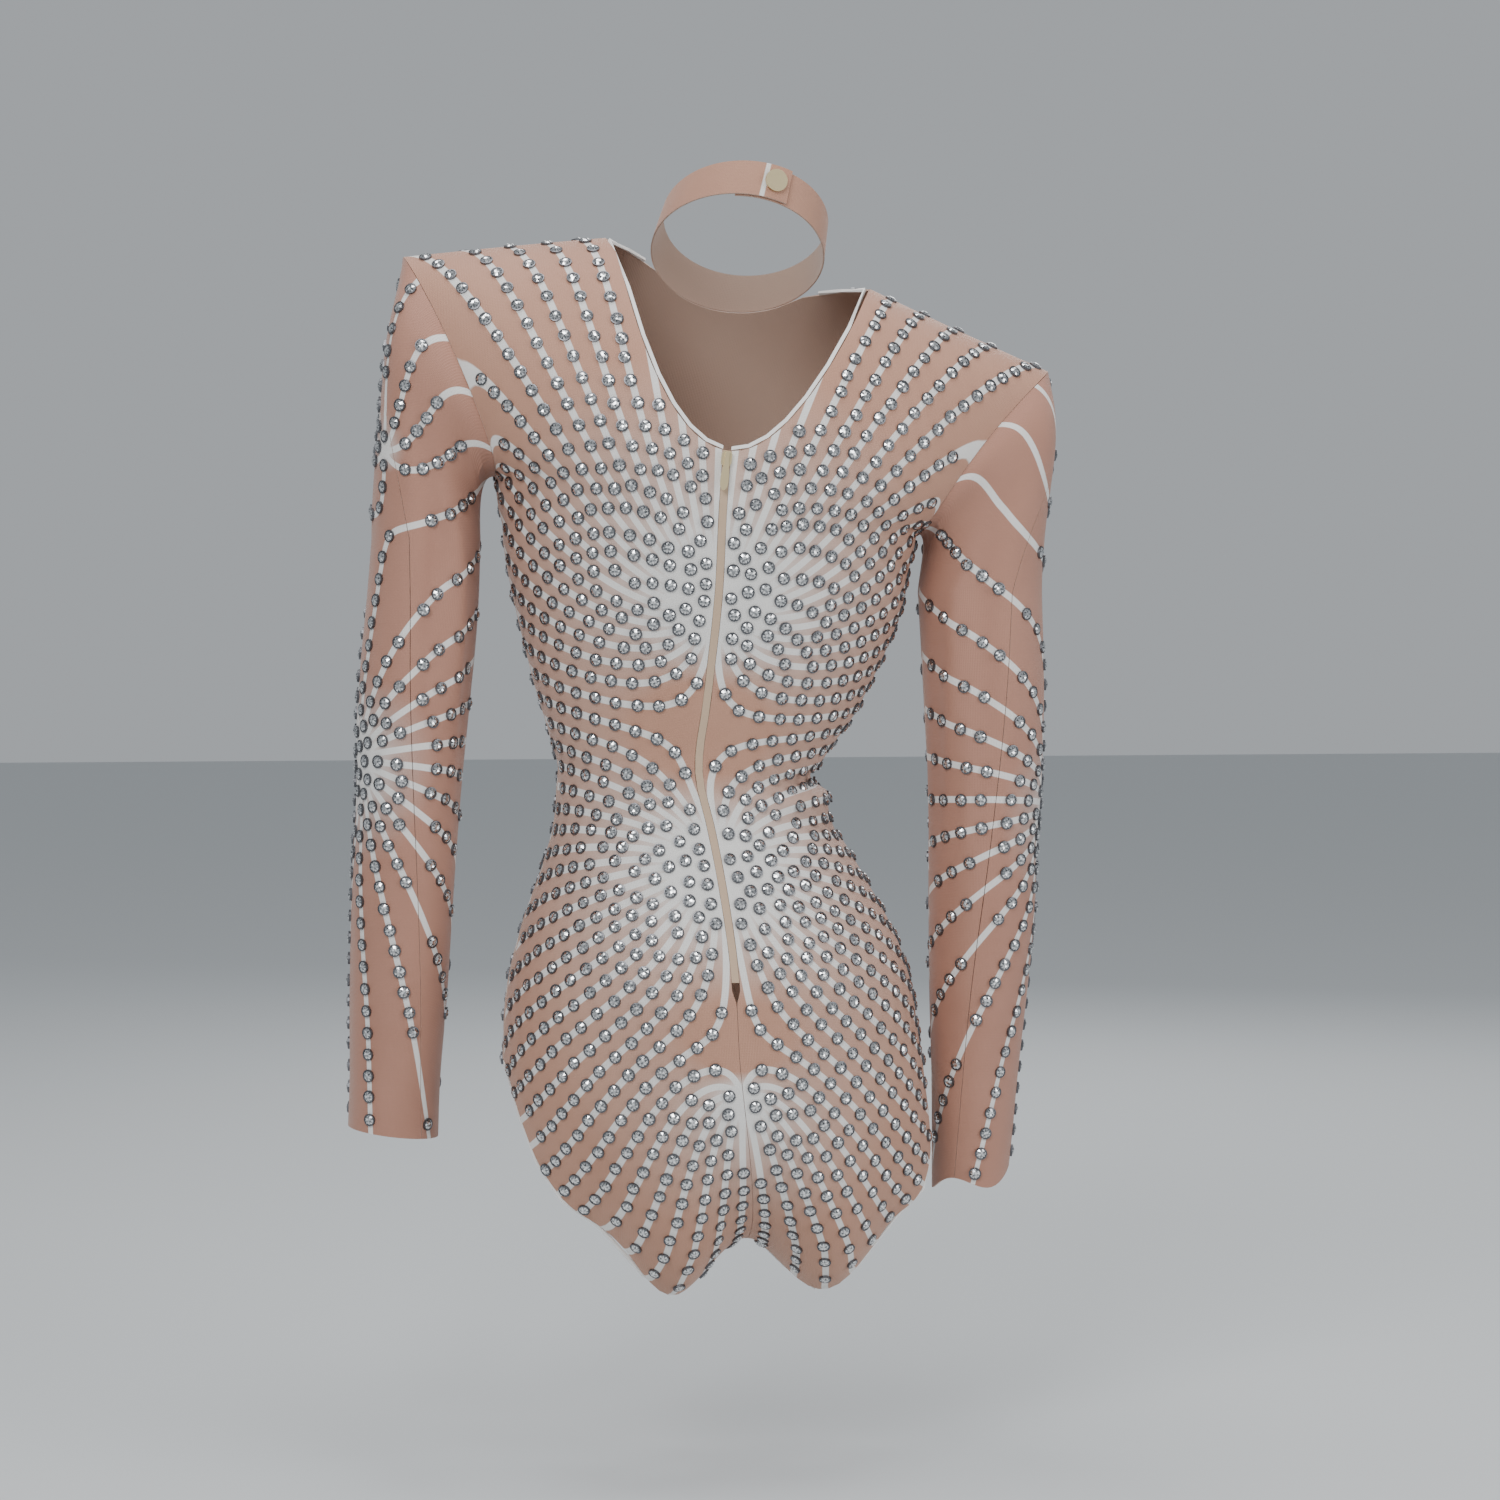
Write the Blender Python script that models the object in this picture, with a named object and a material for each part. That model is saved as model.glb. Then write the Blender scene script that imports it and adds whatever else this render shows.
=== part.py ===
# A long-sleeved leotard with a V back, a neck strap and a back zip, hollow and standing as worn.
# Sizes are in millimetres here and in metres in the meshes. +Z is up and the front faces -Y.
# The zero point lies between the shoulder tips, where the wearer's shoulders carry the garment.
import math

import bmesh
import bpy
import numpy as np

metre = 0.001
quarter = math.pi / 2

# Driving sizes
wall = 1.6
seamGap = 0.4
bandGap = 0.6
hipHeight = 125
armpitHeight = 506
tipHeight = 637
neckHeight = 673
vBottomHeight = 541
armpitHalf = 146
tipHalf = 225
neckHalf = 90
zipHalf = 2.5
zipBottom = 189
edgeWidth = 2.4
collarHigh = 24
collarHalf = 57
collarDeep = 62
collarGap = 0.8
strapReach = 50
roundness = 2.2
seatDrop = 40
seatReach = 110
armholeSteps = 9
seamTurn = math.radians(0.35)


def table(names, *rows):
    """Columns by name, the first one also under the name 'at'."""
    columns = {name: np.array([row[i] for row in rows], float) for i, name in enumerate(names.split())}
    columns["at"] = columns[names.split()[0]]
    return columns


# Rings of the body, by height above the crotch
body = table("height half back front",
             (125, 146, 104, 84), (186, 138, 104, 84), (220, 127, 96, 82), (255, 111, 85, 79),
             (290, 97, 74, 75), (324, 91, 70, 74), (379, 113, 79, 83), (448, 136, 92, 98),
             (506, 146, 100, 104), (680, 146, 100, 104))

# Middle line of the body: where it runs, its sideways lean and its turn, in degrees
spine = table("height x z lean turn",
              (0, -10, -638, 0, 4), (128, 10, -510, 1, 4), (220, 14, -418, 1, 3), (290, 22, -348, 2, 2),
              (324, 28, -314, 4, 1), (379, 22, -259, 6, 0), (448, 16, -190, 7, 0), (506, 14, -132, 7.5, 0),
              (637, -1.4, -1.4, 9.5, 0), (680, -9, 41, 10.5, 0), (760, -28, 119, 12.7, 0))

# Leg edges: how far the panel reaches from the middle, by its turn under the seat
legBack = table("turn half", (0, 146), (0.2, 142), (0.4, 133), (0.6, 111), (0.75, 76), (0.88, 42), (1, 14))
legFront = table("turn half", (0, 146), (0.2, 122), (0.4, 98), (0.6, 72), (0.8, 42), (1, 14))

# Sleeve tubes: depth below the zero point, middle and half sizes
sleeveLeft = table("down x y half deep",
                   (155, 206, -2, 37, 44), (190, 208, -2, 38, 44), (259, 214, -3, 38.6, 43),
                   (328, 219, -6, 36.5, 42), (397, 223, -9, 35, 40), (466, 226, -13, 33.5, 38),
                   (535, 229, -17, 31, 35), (562, 230, -18, 31, 34))
sleeveRight = table("down x y half deep",
                    (192, -177, -2, 43, 45), (259, -180, -3, 42, 44), (328, -181, -6, 40, 43),
                    (397, -181, -9, 38, 41), (466, -179, -13, 34.5, 38), (535, -177, -17, 30, 35),
                    (602, -175, -20, 27, 33))

# Angle of the second sleeve seam from the outer side towards the back, along the sleeve
backSeam = table("along angle", (0, 0), (0.3, 22), (0.6, 52), (1, 70), (1.3, 86), (1.6, 106), (2, 127))

# Folds: where, how long and wide, how deep (plus is a ridge) and how far they tip
torsoFolds = table("x height long wide deep tip",
                   (-88, 312, 46, 8, 5.0, -8), (-84, 326, 42, 7, -6.0, -8), (-70, 294, 36, 8, -3.5, 14),
                   (92, 322, 34, 10, -2.0, 6), (-128, 488, 26, 7, -2.5, 48), (128, 488, 26, 7, -2.5, -48))
sleeveFolds = table("angle along long wide deep tip",
                    (100, 0.95, 0.42, 15, -4.5, 0), (128, 1.08, 0.30, 12, 3.0, 18), (150, 1.30, 0.16, 22, -3.0, 0),
                    (-150, 1.34, 0.10, 30, -2.5, 0), (20, 1.44, 0.08, 34, -2.0, 0), (60, 1.80, 0.10, 30, -1.8, 0))


def along(rows, name, at):
    """A smooth curve through a table's rows."""
    x, y = rows["at"], rows[name]
    slope = np.gradient(y, x)
    at = np.clip(at, x[0], x[-1])
    i = np.clip(np.searchsorted(x, at) - 1, 0, len(x) - 2)
    step = x[i + 1] - x[i]
    t = (at - x[i]) / step
    start = (2 * t ** 3 - 3 * t ** 2 + 1) * y[i] + (t ** 3 - 2 * t ** 2 + t) * step * slope[i]
    return start + (3 * t ** 2 - 2 * t ** 3) * y[i + 1] + (t ** 3 - t ** 2) * step * slope[i + 1]


def unit(vectors):
    return vectors / np.maximum(np.linalg.norm(vectors, axis=-1, keepdims=True), 1e-9)


def pose(x, y, height):
    """Set a point of the straight body on the leaning, turned middle line."""
    lean = np.radians(along(spine, "lean", height))
    turn = np.radians(along(spine, "turn", height))
    side = x * np.cos(turn) - y * np.sin(turn)
    depth = x * np.sin(turn) + y * np.cos(turn)
    below = np.minimum(height, 0)
    return np.stack([along(spine, "x", height) + side * np.cos(lean), depth,
                     along(spine, "z", height) + below + side * np.sin(lean)], axis=-1)


def shoulderLine(x):
    slope = (neckHeight - tipHeight) / (tipHalf - neckHalf)
    return neckHeight - slope * np.maximum(np.abs(x) - neckHalf, 0)


def collarFlat(turn, lift, out):
    """The neck strap. turn is 0 at the back and grows towards the wearer's left."""
    x = (collarHalf + out - 0.12 * lift) * np.sin(turn)
    y = -8 + (collarDeep + out - 0.12 * lift) * np.cos(turn)
    return x, y, neckHeight + 51 - 0.53 * (54 - y) + lift


def frontTop(x):
    """Height and depth of the front's neck edge: along the strap, then out to the shoulder seam."""
    reach = np.minimum(x, strapReach)
    foot = -collarHigh / 2
    turn = math.pi - np.arcsin(reach / (collarHalf - 0.12 * foot))
    _, y, height = collarFlat(turn, foot, 0)
    t = np.clip((x - strapReach) / (neckHalf - strapReach), 0, 1)
    height = height - collarGap
    return height + (neckHeight - height) * t, -y * (1 - t) ** 1.3


def torsoFlat(side, across, row, gap):
    """The straight body. side is 1 at the back and -1 in front, and across runs from -1 to 1.
    row runs from -1 at the crotch to 0 at the hip, 1 at the armpit and 2 at the shoulder seam."""
    sign = np.where(across < 0, -1.0, 1.0)
    a = np.abs(across)
    drop = np.sin(np.clip(-row, 0, 1) * quarter)
    rise = np.sin(np.clip(row - 1, 0, 1) * quarter)
    height = hipHeight + (armpitHeight - hipHeight) * np.clip(row, 0, 1)
    leg = legBack if side > 0 else legFront
    half = along(body, "half", height)
    edge = np.where(row < 0, along(leg, "half", -row), half + (tipHalf - armpitHalf) * rise ** 1.15)
    full = half + (tipHalf - armpitHalf) * rise ** 1.15 + 30 * (1 - (1 - rise) ** 6) + 0.01
    share = np.sin(a * quarter) * (1 - rise - drop) + a * (rise + drop)
    zipRoom = zipHalf + seamGap - 0.2 * seamGap
    opened = np.clip((height - zipBottom + 14) / 8, 0, 1)
    inner = (seamGap / 2 + (zipRoom - seamGap / 2) * opened) if side > 0 else 0.0
    x = sign * (inner * np.maximum(0, 1 - 2.5 * share) + edge * share)
    flat = np.maximum(1 - (np.abs(x) / full) ** roundness, 0) ** (1 / roundness)
    depth = along(body, "back" if side > 0 else "front", height) * flat
    lobe = -seatDrop * np.sin(np.minimum(np.abs(x), seatReach) / seatReach * math.pi) ** 2
    if side < 0:
        lobe = lobe * np.clip(1 - (np.abs(x) - 14) / 30, 0, 1)
    low = hipHeight - (hipHeight - lobe) * drop
    line = shoulderLine(x)
    inside = np.minimum(np.abs(x), neckHalf)
    if side > 0:
        top = np.where(np.abs(x) < neckHalf,
                       vBottomHeight + (neckHeight - vBottomHeight) * (inside / neckHalf) ** 2, line)
        high = armpitHeight + (top - armpitHeight) * rise
        lift = (high - armpitHeight) / (line - armpitHeight)
        upper = depth * np.sqrt(np.maximum(1 - lift ** 2, 0))
    else:
        neckTop, topDepth = frontTop(inside)
        top = np.where(np.abs(x) < neckHalf, neckTop, line)
        chest = 0.8 * (1 - (inside / neckHalf) ** 2)
        high = armpitHeight + (top - armpitHeight) * (rise + (np.clip(row - 1, 0, 1) - rise) * chest)
        upper = topDepth + (depth - topDepth) * np.sqrt(np.maximum(1 - rise ** 2, 0))
    depth = np.where(row < 0, depth * np.sqrt(np.maximum(1 - drop ** 2, 0)), np.where(row > 1, upper, depth))
    height = np.where(row < 0, low, np.where(row > 1, high, height))
    return x, side * np.maximum(depth, gap), height


def torsoFrame(side, across, row):
    """Posed points of the cloth's outer face, their normals and the directions along the rows."""
    across, row = np.broadcast_arrays(np.asarray(across, float), np.asarray(row, float))
    step = 0.002
    a0 = np.clip(across - step, -1, 1)
    a1 = np.clip(across + step, -1, 1)
    r0 = np.clip(row - step, -1, 2)
    r1 = np.clip(row + step, -1, 2)
    over = pose(*torsoFlat(side, a1, row, 0)) - pose(*torsoFlat(side, a0, row, 0))
    up = pose(*torsoFlat(side, across, r1, 0)) - pose(*torsoFlat(side, across, r0, 0))
    normal = unit(-side * np.cross(over, up))
    x, y, height = torsoFlat(side, across, row, seamGap / 2)
    points = pose(x, y, height)
    depth = np.zeros_like(x)
    for i in range(len(torsoFolds["x"])):
        fold = {name: column[i] for name, column in torsoFolds.items()}
        tip = math.radians(fold["tip"])
        u = (x - fold["x"]) * math.cos(tip) + (height - fold["height"]) * math.sin(tip)
        v = (height - fold["height"]) * math.cos(tip) - (x - fold["x"]) * math.sin(tip)
        depth = depth + fold["deep"] * np.exp(-(u / fold["long"]) ** 2 - (v / fold["wide"]) ** 2)
    r0 = np.where(row >= 1, np.maximum(r0, 1), r0)
    up = pose(*torsoFlat(side, across, r1, 0)) - pose(*torsoFlat(side, across, r0, 0))
    return points + depth[..., None] * normal, normal, unit(over), unit(up)


def sleeveTube(hand, angle, down):
    rows = sleeveLeft if hand > 0 else sleeveRight
    tilt = np.clip((down - rows["at"][-1] + 40) / 40, 0, 1)
    wave = 5 * np.sin(3 * angle + 1) + 4 * np.cos(angle) if hand < 0 else 4 * np.cos(angle)
    x = along(rows, "x", down) + hand * along(rows, "half", down) * np.cos(angle)
    y = along(rows, "y", down) + along(rows, "deep", down) * np.sin(angle)
    return np.stack([x, y, -down + wave * tilt], axis=-1)


def sleeveSurface(hand, angle, row):
    """angle is 0 on the outer side, plus towards the back and minus in front.
    row runs from 0 at the armhole to 1 at the top of the tube and 2 at the cuff."""
    rows = sleeveLeft if hand > 0 else sleeveRight
    joinDown, cuffDown = rows["at"][0], rows["at"][-1]
    tube = sleeveTube(hand, angle, joinDown + (cuffDown - joinDown) * np.clip(row - 1, 0, 1))
    armholeRow = 2 - np.clip((np.abs(angle) - seamTurn) / (math.pi - 2 * seamTurn), 0, 1)
    back = torsoFrame(1, hand, armholeRow)
    front = torsoFrame(-1, hand, armholeRow)
    behind = (angle > 0)[..., None]
    start, normal, up = (np.where(behind, back[i], front[i]) for i in (0, 1, 3))
    facing = np.where(behind, 1.0, -1.0)
    start = start + seamGap * hand * facing * np.cross(normal, up)
    join = sleeveTube(hand, angle, joinDown)
    length = np.linalg.norm(join - start, axis=-1)[..., None]
    under = ((1 - np.cos(angle)) / 2)[..., None]
    beside = np.abs(np.sin(angle))[..., None]
    out = np.array([hand, 0, 0.0])
    rise = np.array([0, 0, 1.0])
    leave = out * (0.06 + 0.80 * under + 0.34 * beside * (1 - under)) + rise * (0.95 * under - 0.75)
    leave = unit(leave + np.stack([0 * angle, 0.25 * np.sin(angle), 0 * angle], axis=-1)) * length * 0.9
    arrive = -rise * length * (1.1 - 0.35 * under)
    t = np.clip(row, 0, 1)[..., None]
    head = ((2 * t ** 3 - 3 * t ** 2 + 1) * start + (t ** 3 - 2 * t ** 2 + t) * leave
            + (3 * t ** 2 - 2 * t ** 3) * join + (t ** 3 - t ** 2) * arrive)
    return np.where((row > 1)[..., None], tube, head), normal


def sleeveFrame(hand, angle, row):
    step = 0.003
    r0 = np.clip(row - step, 0, 2)
    r1 = np.clip(row + step, 0, 2)
    over = sleeveSurface(hand, angle + step, row)[0] - sleeveSurface(hand, angle - step, row)[0]
    down = sleeveSurface(hand, angle, r1)[0] - sleeveSurface(hand, angle, r0)[0]
    normal = unit(-hand * np.cross(over, down))
    points, panelNormal = sleeveSurface(hand, angle, row)
    degrees = np.degrees(angle)
    depth = np.zeros_like(degrees)
    for i in range(len(sleeveFolds["angle"])):
        fold = {name: column[i] for name, column in sleeveFolds.items()}
        u = (row - fold["along"]) / fold["long"]
        v = (degrees - fold["angle"] - fold["tip"] * u) / fold["wide"]
        depth = depth + fold["deep"] * np.exp(-u ** 2 - v ** 2)
    points = points + (depth * np.clip(row * 4, 0, 1))[..., None] * normal
    return points, np.where((row < 1e-6)[..., None], panelNormal, normal)


def cloth(name, colour, roughness, metallic=0.0):
    made = bpy.data.materials.new(name)
    made.use_nodes = True
    shader = made.node_tree.nodes["Principled BSDF"]
    shader.inputs["Base Color"].default_value = (*colour, 1)
    shader.inputs["Roughness"].default_value = roughness
    shader.inputs["Metallic"].default_value = metallic
    made.diffuse_color = (*colour, 1)
    return made


def addObject(name, vertices, faces, material):
    """One closed body with its faces turned outwards."""
    mesh = bpy.data.meshes.new(name)
    mesh.from_pydata([tuple(v) for v in np.asarray(vertices) * metre], [], faces)
    mesh.materials.append(material)
    solid = bmesh.new()
    solid.from_mesh(mesh)
    bmesh.ops.triangulate(solid, faces=solid.faces)
    bmesh.ops.recalc_face_normals(solid, faces=solid.faces)
    solid.to_mesh(mesh)
    solid.free()
    made = bpy.data.objects.new(name, mesh)
    bpy.context.scene.collection.objects.link(made)
    mesh.shade_smooth()
    mesh.set_sharp_from_angle(angle=math.radians(40))
    return made


def addWall(name, outer, inner, material):
    """A cloth panel: its outer face, its inner face and the cut edge all round."""
    rows, columns = outer.shape[:2]
    count = rows * columns
    faces = []
    for r in range(rows - 1):
        for c in range(columns - 1):
            a = r * columns + c
            faces.append((a, a + 1, a + columns + 1, a + columns))
            faces.append((count + a, count + a + columns, count + a + columns + 1, count + a + 1))
    rim = [c for c in range(columns)] + [r * columns + columns - 1 for r in range(1, rows)]
    rim += [(rows - 1) * columns + c for c in range(columns - 2, -1, -1)]
    rim += [r * columns for r in range(rows - 2, 0, -1)]
    for a, b in zip(rim, rim[1:] + rim[:1]):
        faces.append((a, count + a, count + b, b))
    return addObject(name, np.concatenate([outer.reshape(-1, 3), inner.reshape(-1, 3)]), faces, material)


def addBand(name, points, out, normal, material, closed=False):
    """A narrow bound edge that follows a panel's cut edge, bandGap away from it."""
    sections = []
    far = bandGap + edgeWidth
    for o, n in ((bandGap, 0.2), (far, 0.2), (far, -wall - 0.2), (bandGap, -wall - 0.2)):
        sections.append(points + o * out + n * normal)
    sections = np.stack(sections, axis=1)
    count = len(points)
    faces = []
    for i in range(count if closed else count - 1):
        j = (i + 1) % count
        for k in range(4):
            m = (k + 1) % 4
            faces.append((4 * i + k, 4 * i + m, 4 * j + m, 4 * j + k))
    if not closed:
        faces.append((0, 1, 2, 3))
        faces.append(tuple(4 * (count - 1) + k for k in (3, 2, 1, 0)))
    return addObject(name, sections.reshape(-1, 3), faces, material)


for old in list(bpy.data.objects):
    bpy.data.objects.remove(old, do_unlink=True)

nude = cloth("printed_stretch_knit", (0.52, 0.30, 0.21), 0.7)
sleeveKnit = cloth("sleeve_stretch_knit", (0.45, 0.25, 0.18), 0.7)
white = cloth("white_binding", (0.78, 0.76, 0.72), 0.75)
gold = cloth("gold_metal", (0.62, 0.47, 0.20), 0.35, 1.0)
coil = cloth("zip_coil", (0.32, 0.20, 0.12), 0.5)

# Rows of the body panels, closer together where the waist folds
legTurns = (1, 0.94, 0.86, 0.76, 0.64, 0.5, 0.34, 0.17)
bodyHeights = np.concatenate([np.linspace(125, 272, 8), np.linspace(283, 349, 7), np.linspace(366, 506, 8)])
bodyRows = (bodyHeights - hipHeight) / (armpitHeight - hipHeight)
shoulderRows = 1 + np.arange(1, armholeSteps + 1) / armholeSteps
rowList = np.concatenate([-np.array(legTurns), bodyRows, shoulderRows])
neckShare = neckHalf / tipHalf
strapShare = strapReach / tipHalf
columnList = np.concatenate([np.linspace(0, strapShare, 5), np.linspace(strapShare, neckShare, 4)[1:],
                             np.linspace(neckShare, 1, 6)[1:]])


def addPanel(name, side, columns):
    points, normals, _, _ = torsoFrame(side, np.asarray(columns)[None, :], rowList[:, None])
    return addWall(name, points, points - wall * normals, nude)


addPanel("front_panel", -1, np.concatenate([-columnList[:0:-1], columnList]))
addPanel("back_panel_left", 1, columnList)
# A column of minus nothing still belongs to the wearer's right side
addPanel("back_panel_right", 1, np.minimum(-columnList, -1e-9))

# Two-piece sleeves, the seam running from the shoulder tip down the back
sleeveRows = np.concatenate([np.linspace(0, 1, 9), 1 + np.linspace(0, 1, 16)[1:]])
for hand, word in ((1, "left"), (-1, "right")):
    seam = np.radians(along(backSeam, "angle", sleeveRows))[:, None]
    share = np.linspace(0, 1, armholeSteps + 1)[None, :]
    first = seam + seamTurn
    last = math.pi - seamTurn
    for label, angles in (("under", first + (last - first) * share),
                          ("outer", -last + (seam - seamTurn + last) * share)):
        rows = np.broadcast_to(sleeveRows[:, None], angles.shape)
        points, normals = sleeveFrame(hand, angles, rows)
        addWall("sleeve_" + word + "_" + label, points, points - wall * normals, sleeveKnit)

# Bound leg edges, each one loop round a leg
turns = np.concatenate([[0], -rowList[:8][::-1]])
for hand, word in ((1, "left"), (-1, "right")):
    ring = []
    for side in (1, -1):
        points, normals, _, up = torsoFrame(side, float(hand), -turns)
        ring.append((points, normals, hand * side * np.cross(normals, up)))
    back, front = ring
    joined = []
    for b, f in zip(back, front):
        joined.append(np.concatenate([(b[:1] + f[:1]) / 2, b[1:-1], (b[-1:] + f[-1:]) / 2, f[-2:0:-1]]))
    addBand("leg_edge_" + word, joined[0], unit(joined[2]), unit(joined[1]), white, closed=True)

# Bound neck edges, from the foot of the V over the shoulder to the strap
for hand, word in ((1, "left"), (-1, "right")):
    ring = []
    for side, shares in ((1, columnList[:8]), (-1, columnList[7:4:-1])):
        points, normals, over, _ = torsoFrame(side, hand * np.maximum(shares, 1e-9), 2.0)
        ring.append((points, normals, -side * np.cross(normals, over)))
    joined = []
    for b, f in zip(*ring):
        joined.append(np.concatenate([b[:-1], (b[-1:] + f[:1]) / 2, f[1:]]))
    addBand("neck_edge_" + word, joined[0], unit(joined[2]), unit(joined[1]), white)

# Zip tape with its coil, between the two back panels
zipRows = np.concatenate([[(zipBottom - hipHeight) / (armpitHeight - hipHeight)], bodyRows[4:], shoulderRows])
middle, middleNormal, middleOver, middleUp = torsoFrame(1, 0.0, zipRows)
middle = middle - middleOver * (zipHalf + seamGap * 0.8)
tape = np.stack([middle + middleOver * zipHalf * k for k in (-1, 0, 1)], axis=1)
addWall("zip_chain", tape, tape - wall * middleNormal[:, None, :], coil)


def addBlock(name, base, across, upward, outward, outline, low, high, material):
    """An outline of (across, upward) points, thick from low to high above the cloth."""
    flat = np.array([base + across * p[0] + upward * p[1] for p in outline])
    count = len(outline)
    vertices = np.concatenate([flat + outward * low, flat + outward * high])
    faces = [tuple(range(count)), tuple(range(2 * count - 1, count - 1, -1))]
    faces += [(i, (i + 1) % count, count + (i + 1) % count, count + i) for i in range(count)]
    return addObject(name, vertices, faces, material)


def roundOutline(width, height, steps, square=2.0):
    """A rounded outline, nearer a rectangle as square grows."""
    turns = np.arange(steps) * 2 * math.pi / steps
    bend = 2 / square
    return [(width / 2 * math.copysign(abs(math.cos(t)) ** bend, math.cos(t)),
             height / 2 * math.copysign(abs(math.sin(t)) ** bend, math.sin(t))) for t in turns]


# Slider and pull, near the foot of the V
sliderTop = middle[-4]
sliderNormal, sliderOver = middleNormal[-4], middleOver[-4]
sliderUp = np.cross(sliderNormal, sliderOver) * -1
sliderBase = sliderTop - sliderUp * 1
addBlock("zip_slider", sliderBase, sliderOver, sliderUp, sliderNormal, roundOutline(7, 10, 16, 4), 0.4, 3.0, gold)
pullTop = 0.5
pullOutline = [(1.4, pullTop), (-1.4, pullTop), (-1.6, -6), (-2.7, -15)]
pullOutline += [(-2.7 * math.cos(t), -19.5 - 5.5 * math.sin(t)) for t in np.linspace(0, math.pi, 9)]
pullOutline += [(2.7, -15), (1.6, -6)]
pullAxis = sliderBase + sliderUp * 3.5 + sliderNormal * 4.0
addBlock("zip_pull", pullAxis, sliderOver, sliderUp, sliderNormal, pullOutline, -0.6, 0.6, gold)


def collarFrame(turn, lift, out):
    return pose(*collarFlat(turn, lift, out))


# Neck strap: one band, its left end lapped over its right end at the back
lap = math.radians(17)
turns = np.linspace(-lap, 2 * math.pi + lap, 61)
outside = np.interp(turns, (-lap, lap * 1.3, 2 * math.pi - lap * 1.3, 2 * math.pi + lap), (2.6, 2.2, 0, 0))
lifts = np.linspace(-collarHigh / 2, collarHigh / 2, 4)[:, None]
outer = collarFrame(turns[None, :], lifts, outside[None, :])
inner = collarFrame(turns[None, :], lifts, outside[None, :] - wall)
addWall("collar", outer, inner, nude)

# Press stud on the lapped end
studTurn = -0.12
studCentre = collarFrame(studTurn, 1.0, 2.6)
studOver = unit(collarFrame(studTurn + 0.05, 1.0, 2.6) - collarFrame(studTurn - 0.05, 1.0, 2.6))
studUp = unit(collarFrame(studTurn, 3.0, 2.6) - collarFrame(studTurn, -1.0, 2.6))
studOut = -unit(np.cross(studOver, studUp))
addBlock("collar_snap", studCentre, studOver, studUp, studOut, roundOutline(15, 15, 24), 0.3, 2.8, gold)
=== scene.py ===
# A long-sleeved stage leotard with a V back, a back zip and a neck strap, dressed with print, stones and trim.
# Sizes are in millimetres in the tables and in metres in the meshes.
import math

import bmesh
import bpy
import numpy as np
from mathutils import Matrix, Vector
from mathutils.bvhtree import BVHTree


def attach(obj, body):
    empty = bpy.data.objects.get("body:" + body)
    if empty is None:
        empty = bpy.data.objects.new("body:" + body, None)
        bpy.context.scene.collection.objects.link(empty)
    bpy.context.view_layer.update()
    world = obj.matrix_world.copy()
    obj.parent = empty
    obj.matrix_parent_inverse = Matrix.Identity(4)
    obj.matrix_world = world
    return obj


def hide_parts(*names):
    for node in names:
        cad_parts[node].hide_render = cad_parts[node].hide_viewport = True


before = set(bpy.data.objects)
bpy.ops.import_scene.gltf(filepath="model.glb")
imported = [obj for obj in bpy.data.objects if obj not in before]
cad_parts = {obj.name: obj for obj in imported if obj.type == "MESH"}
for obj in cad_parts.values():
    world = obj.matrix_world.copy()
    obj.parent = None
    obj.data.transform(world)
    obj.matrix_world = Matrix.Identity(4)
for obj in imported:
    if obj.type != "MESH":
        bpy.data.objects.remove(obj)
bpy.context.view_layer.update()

metre = 0.001
quarter = math.pi / 2

# The cut, shared with the frame
wall = 1.6
seamGap = 0.4
bandGap = 0.6
hipHeight = 125
armpitHeight = 506
tipHeight = 637
neckHeight = 673
vBottomHeight = 541
armpitHalf = 146
tipHalf = 225
neckHalf = 90
zipHalf = 2.5
zipBottom = 189
edgeWidth = 2.4
collarHigh = 24
collarHalf = 57
collarDeep = 62
collarGap = 0.8
strapReach = 50
roundness = 2.2
seatDrop = 40
seatReach = 110
armholeSteps = 9
seamTurn = math.radians(0.35)


def table(names, *rows):
    columns = {name: np.array([row[i] for row in rows], float) for i, name in enumerate(names.split())}
    columns["at"] = columns[names.split()[0]]
    return columns


# Rings of the body, by height above the crotch
body = table("height half back front",
             (125, 146, 104, 84), (186, 138, 104, 84), (220, 127, 96, 82), (255, 111, 85, 79),
             (290, 97, 74, 75), (324, 91, 70, 74), (379, 113, 79, 83), (448, 136, 92, 98),
             (506, 146, 100, 104), (680, 146, 100, 104))

# Middle line of the body: where it runs, its sideways lean and its turn, in degrees
spine = table("height x z lean turn",
              (0, -10, -638, 0, 4), (128, 10, -510, 1, 4), (220, 14, -418, 1, 3), (290, 22, -348, 2, 2),
              (324, 28, -314, 4, 1), (379, 22, -259, 6, 0), (448, 16, -190, 7, 0), (506, 14, -132, 7.5, 0),
              (637, -1.4, -1.4, 9.5, 0), (680, -9, 41, 10.5, 0), (760, -28, 119, 12.7, 0))

# Leg edges: how far the panel reaches from the middle, by its turn under the seat
legBack = table("turn half", (0, 146), (0.2, 142), (0.4, 133), (0.6, 111), (0.75, 76), (0.88, 42), (1, 14))
legFront = table("turn half", (0, 146), (0.2, 122), (0.4, 98), (0.6, 72), (0.8, 42), (1, 14))

# Sleeve tubes: depth below the zero point, middle and half sizes
sleeveLeft = table("down x y half deep",
                   (155, 206, -2, 37, 44), (190, 208, -2, 38, 44), (259, 214, -3, 38.6, 43),
                   (328, 219, -6, 36.5, 42), (397, 223, -9, 35, 40), (466, 226, -13, 33.5, 38),
                   (535, 229, -17, 31, 35), (562, 230, -18, 31, 34))
sleeveRight = table("down x y half deep",
                    (192, -177, -2, 43, 45), (259, -180, -3, 42, 44), (328, -181, -6, 40, 43),
                    (397, -181, -9, 38, 41), (466, -179, -13, 34.5, 38), (535, -177, -17, 30, 35),
                    (602, -175, -20, 27, 33))

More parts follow.
